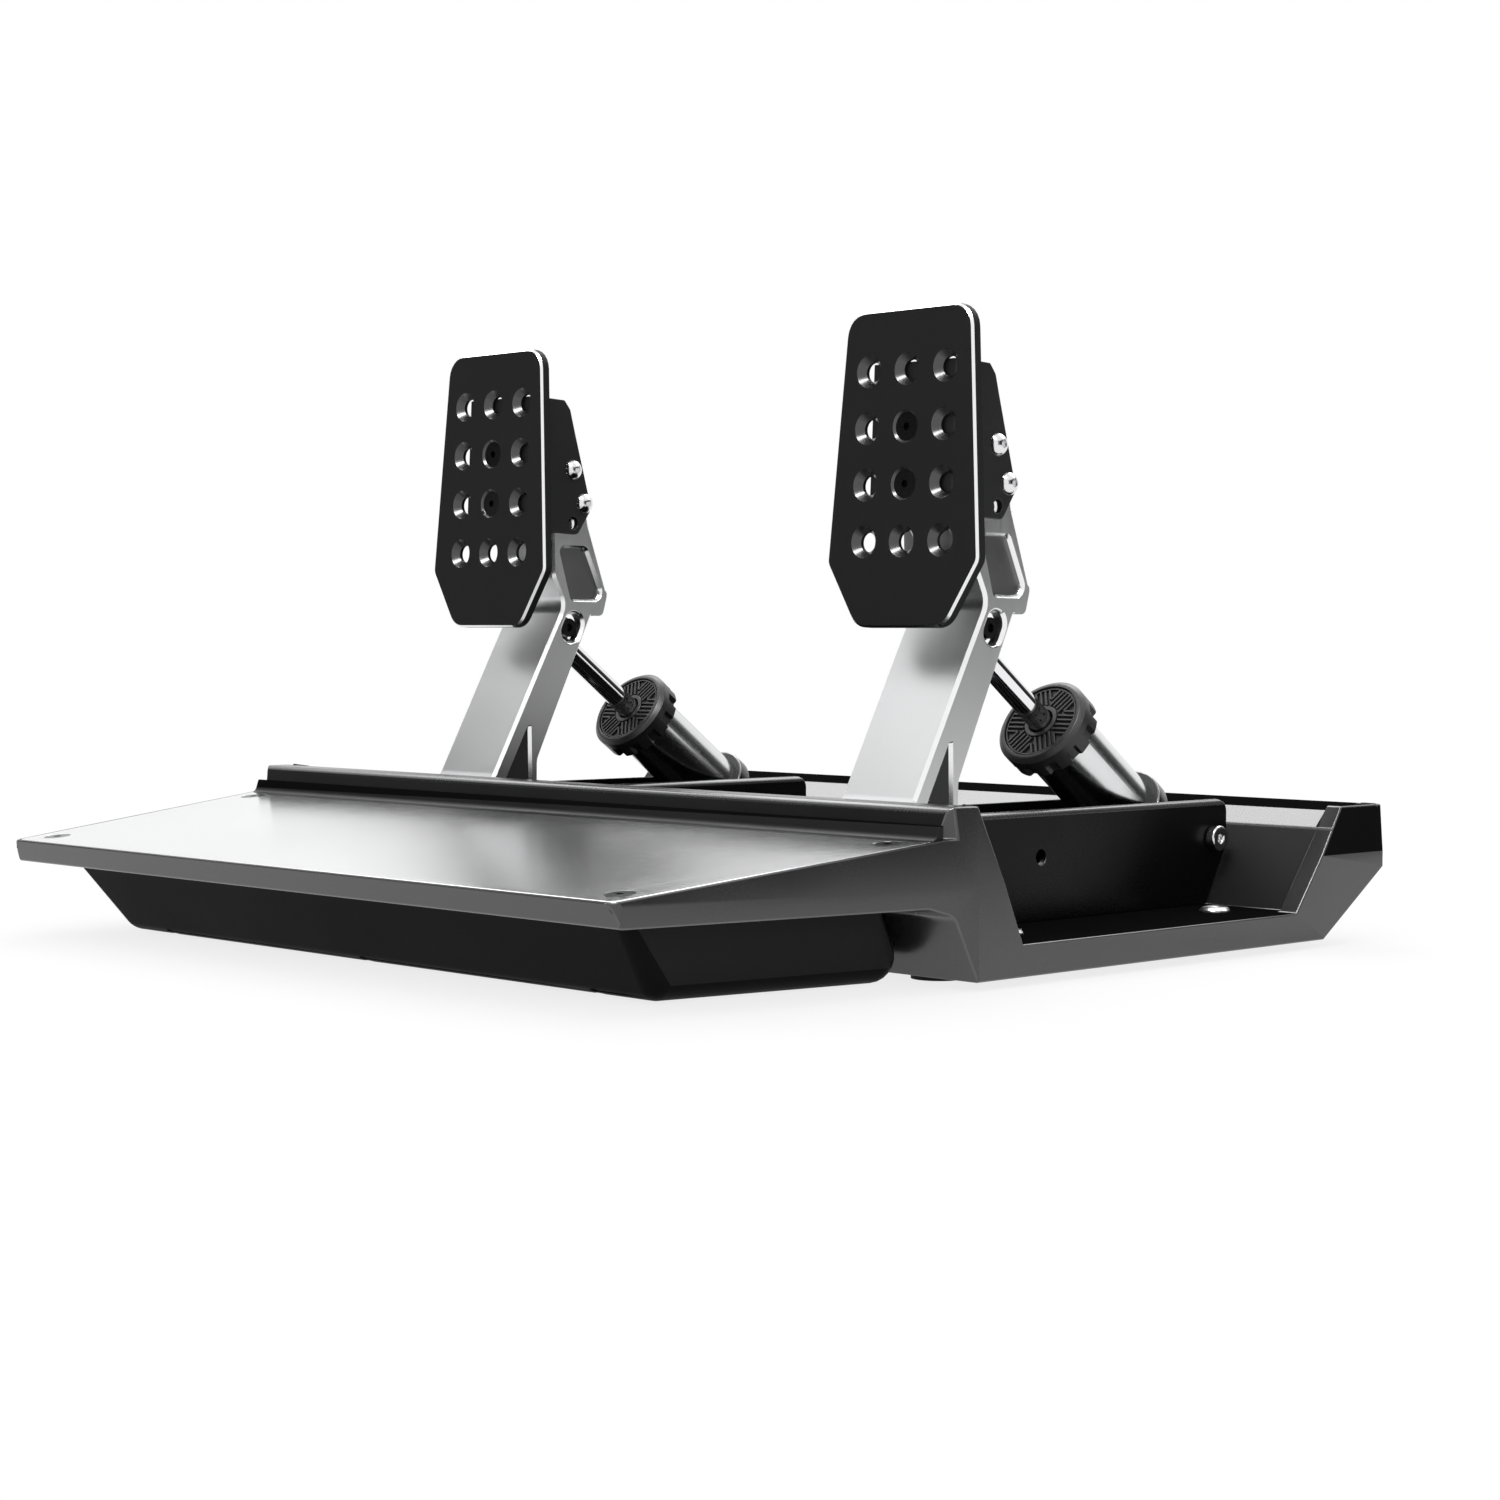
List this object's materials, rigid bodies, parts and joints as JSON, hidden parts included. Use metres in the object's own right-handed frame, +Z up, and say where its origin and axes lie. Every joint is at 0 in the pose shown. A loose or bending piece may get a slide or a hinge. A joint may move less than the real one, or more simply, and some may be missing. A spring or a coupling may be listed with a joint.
{
  "type": "sim racing pedal set",
  "caption": "Floor-standing sim racing pedal set with perforated brake and throttle plates, hinged arms, damper struts and a sloped heel rest.",
  "frame": {"origin": "on the floor under the middle of the set's bounding box", "axes": "+X to the driver's right, +Y away from the driver, +Z up; the pedals face -Y"},
  "size_m": [0.39, 0.3768, 0.2303],
  "materials": {
    "moulding": "satin moulded",
    "tub_moulding": "satin moulded",
    "heel_sheet": "satin anodised sheet",
    "black_steel": "satin black powder coat",
    "silver_aluminium": "brushed and machined",
    "plate_black": "matte black anodised with bare bevels",
    "inlay_black": "matte",
    "chrome_rod": "polished",
    "screw_steel": "plated",
    "black_screw": "black oxide",
    "cap_plastic": "moulded",
    "cylinder_metal": "polished tube",
    "bronze": "plain",
    "board_green": "solder mask",
    "socket_black": "moulded",
    "socket_steel": "plated sheet",
    "foot_rubber": "matte",
    "elastomer": "matte",
    "spring_steel": "drawn wire",
    "magnet": "plated"
  },
  "bodies": {
    "base": {"base_frame": "moulding", "lower_tub": "tub_moulding", "heel_plate": "heel_sheet", "heel_plate_screws": "screw_steel", "tub_screws": "screw_steel", "rubber_feet": "foot_rubber", "rear_cover": "tub_moulding", "rear_cover_screws": "screw_steel", "circuit_board": "board_green", "board_screws": "screw_steel", "pedal_sockets": "socket_black", "usb_socket": "socket_steel", "bracket_bolts": "screw_steel", "pivot_bushes": "bronze", "foot_bolts": "screw_steel", "sensor_housings": "cap_plastic", "brake_bracket": "black_steel", "brake_load_cell": "silver_aluminium", "brake_foot_pin": "screw_steel", "throttle_bracket": "black_steel", "throttle_foot_block": "black_steel", "throttle_foot_pin": "screw_steel"},
    "brake_pedal": {"brake_shaft": "screw_steel", "brake_shaft_screw": "screw_steel", "brake_magnet": "magnet", "brake_arm": "silver_aluminium", "brake_inlays": "inlay_black", "brake_plate_bracket": "black_steel", "brake_angle_screws": "chrome_rod", "brake_plate": "plate_black", "brake_plate_screws": "black_screw", "brake_plate_nuts": "screw_steel"},
    "brake_damper": {"brake_damper_cap": "cap_plastic", "brake_cylinder": "cylinder_metal", "brake_damper_eye": "silver_aluminium", "brake_elastomers": "elastomer"},
    "brake_plunger": {"brake_rod": "chrome_rod", "brake_rod_pin": "black_screw", "brake_rod_spacers": "screw_steel", "brake_piston": "bronze"},
    "throttle_pedal": {"throttle_shaft": "screw_steel", "throttle_shaft_screw": "screw_steel", "throttle_magnet": "magnet", "throttle_arm": "silver_aluminium", "throttle_inlays": "inlay_black", "throttle_plate_bracket": "black_steel", "throttle_angle_screws": "chrome_rod", "throttle_plate": "plate_black", "throttle_plate_screws": "black_screw", "throttle_plate_nuts": "screw_steel"},
    "throttle_damper": {"throttle_damper_cap": "cap_plastic", "throttle_cylinder": "cylinder_metal", "throttle_damper_eye": "silver_aluminium", "throttle_spring": "spring_steel"},
    "throttle_plunger": {"throttle_rod": "chrome_rod", "throttle_rod_pin": "black_screw", "throttle_rod_spacers": "screw_steel", "throttle_piston": "bronze"}
  },
  "joints": [
    {"name": "brake_pedal_hinge", "type": "hinge", "parent": "base", "child": "brake_pedal", "pos_m": [-0.097, -0.0275, 0.031], "axis": [-1, 0, 0], "range_deg": [0, 8], "stiffness_Nm_per_rad": 250, "springref_deg": -2.86},
    {"name": "brake_damper_hinge", "type": "hinge", "parent": "base", "child": "brake_damper", "pos_m": [-0.097, 0.1259, 0.0379], "axis": [-1, 0, 0], "range_deg": [0, 0.8]},
    {"name": "brake_plunger_slide", "type": "slide", "parent": "brake_damper", "child": "brake_plunger", "axis": [0, 0.8096, -0.587], "range_m": [0, 0.0136], "deforming": ["brake_elastomers"]},
    {"name": "throttle_pedal_hinge", "type": "hinge", "parent": "base", "child": "throttle_pedal", "pos_m": [0.1295, -0.0275, 0.031], "axis": [-1, 0, 0], "range_deg": [0, 15], "stiffness_Nm_per_rad": 12, "springref_deg": -14.32},
    {"name": "throttle_damper_hinge", "type": "hinge", "parent": "base", "child": "throttle_damper", "pos_m": [0.1295, 0.1259, 0.0379], "axis": [-1, 0, 0], "range_deg": [0, 1]},
    {"name": "throttle_plunger_slide", "type": "slide", "parent": "throttle_damper", "child": "throttle_plunger", "axis": [0, 0.8096, -0.587], "range_m": [0, 0.0256], "deforming": ["throttle_spring"]}
  ],
  "couplings": [
    {"joint": "brake_damper_hinge", "follows": "brake_pedal_hinge", "ratio": 0.096},
    {"joint": "brake_plunger_slide", "follows": "brake_pedal_hinge", "m_per_rad": 0.096},
    {"joint": "throttle_damper_hinge", "follows": "throttle_pedal_hinge", "ratio": 0.062},
    {"joint": "throttle_plunger_slide", "follows": "throttle_pedal_hinge", "m_per_rad": 0.09636}
  ]
}
